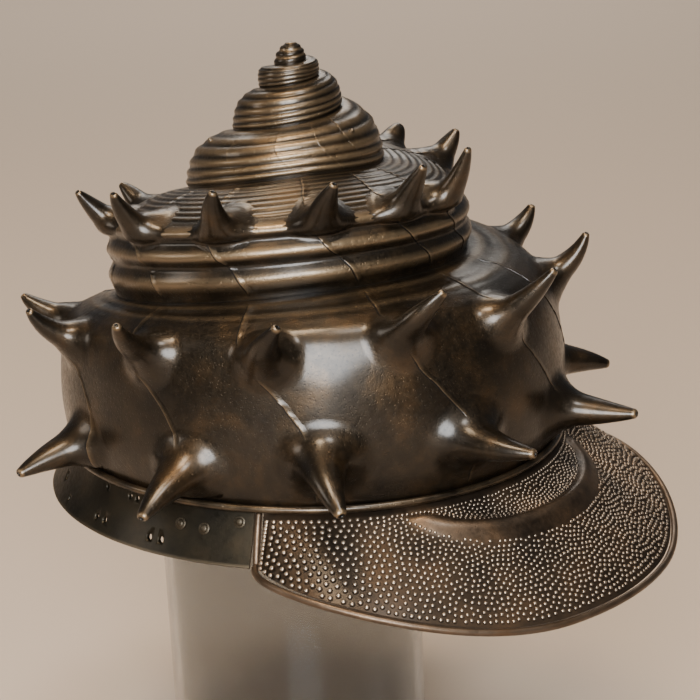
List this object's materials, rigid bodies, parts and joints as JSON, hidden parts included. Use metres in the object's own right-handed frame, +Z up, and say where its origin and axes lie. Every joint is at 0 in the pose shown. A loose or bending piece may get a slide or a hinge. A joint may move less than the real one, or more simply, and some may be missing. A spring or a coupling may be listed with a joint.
{
  "type": "samurai helmet on a clear display stand",
  "caption": "Iron samurai helmet shaped like a horned spiral shell, with a flared waist band and a pearled visor, standing on a plain clear tube.",
  "frame": {"origin": "centre of the stand's foot, on the surface it stands on", "axes": "+Z up, the helmet's front faces -Y, +X is at the wearer's left"},
  "size_m": [0.2799, 0.3291, 0.3726],
  "materials": {
    "bowl_iron": "russet brown patina, semi-gloss",
    "band_iron": "dark brown patina, dull",
    "visor_iron": "brown patina, semi-gloss, pearls worn brighter",
    "clear_acrylic": "clear, polished"
  },
  "bodies": {
    "root": {"bowl": "bowl_iron", "horn_shoulder_01": "bowl_iron", "horn_shoulder_02": "bowl_iron", "horn_shoulder_03": "bowl_iron", "horn_shoulder_04": "bowl_iron", "horn_shoulder_05": "bowl_iron", "horn_shoulder_06": "bowl_iron", "horn_shoulder_07": "bowl_iron", "horn_shoulder_08": "bowl_iron", "horn_shoulder_09": "bowl_iron", "horn_shoulder_10": "bowl_iron", "horn_body_01": "bowl_iron", "horn_body_02": "bowl_iron", "horn_body_03": "bowl_iron", "horn_body_04": "bowl_iron", "horn_body_05": "bowl_iron", "horn_body_06": "bowl_iron", "horn_body_07": "bowl_iron", "horn_body_08": "bowl_iron", "horn_body_09": "bowl_iron", "horn_body_10": "bowl_iron", "horn_body_11": "bowl_iron", "horn_body_12": "bowl_iron", "horn_rim_01": "bowl_iron", "horn_rim_02": "bowl_iron", "horn_rim_03": "bowl_iron", "horn_rim_04": "bowl_iron", "horn_rim_05": "bowl_iron", "horn_rim_06": "bowl_iron", "horn_rim_07": "bowl_iron", "horn_rim_08": "bowl_iron", "horn_rim_09": "bowl_iron", "rim_bead": "bowl_iron", "spire_stud_1": "bowl_iron", "spire_stud_2": "bowl_iron", "waist_band": "band_iron", "band_rivet_1": "band_iron", "band_rivet_2": "band_iron", "band_rivet_3": "band_iron", "band_rivet_4": "band_iron", "band_rivet_5": "band_iron", "band_rivet_6": "band_iron", "visor": "visor_iron", "visor_edge": "visor_iron", "stand": "clear_acrylic"}
  },
  "joints": []
}
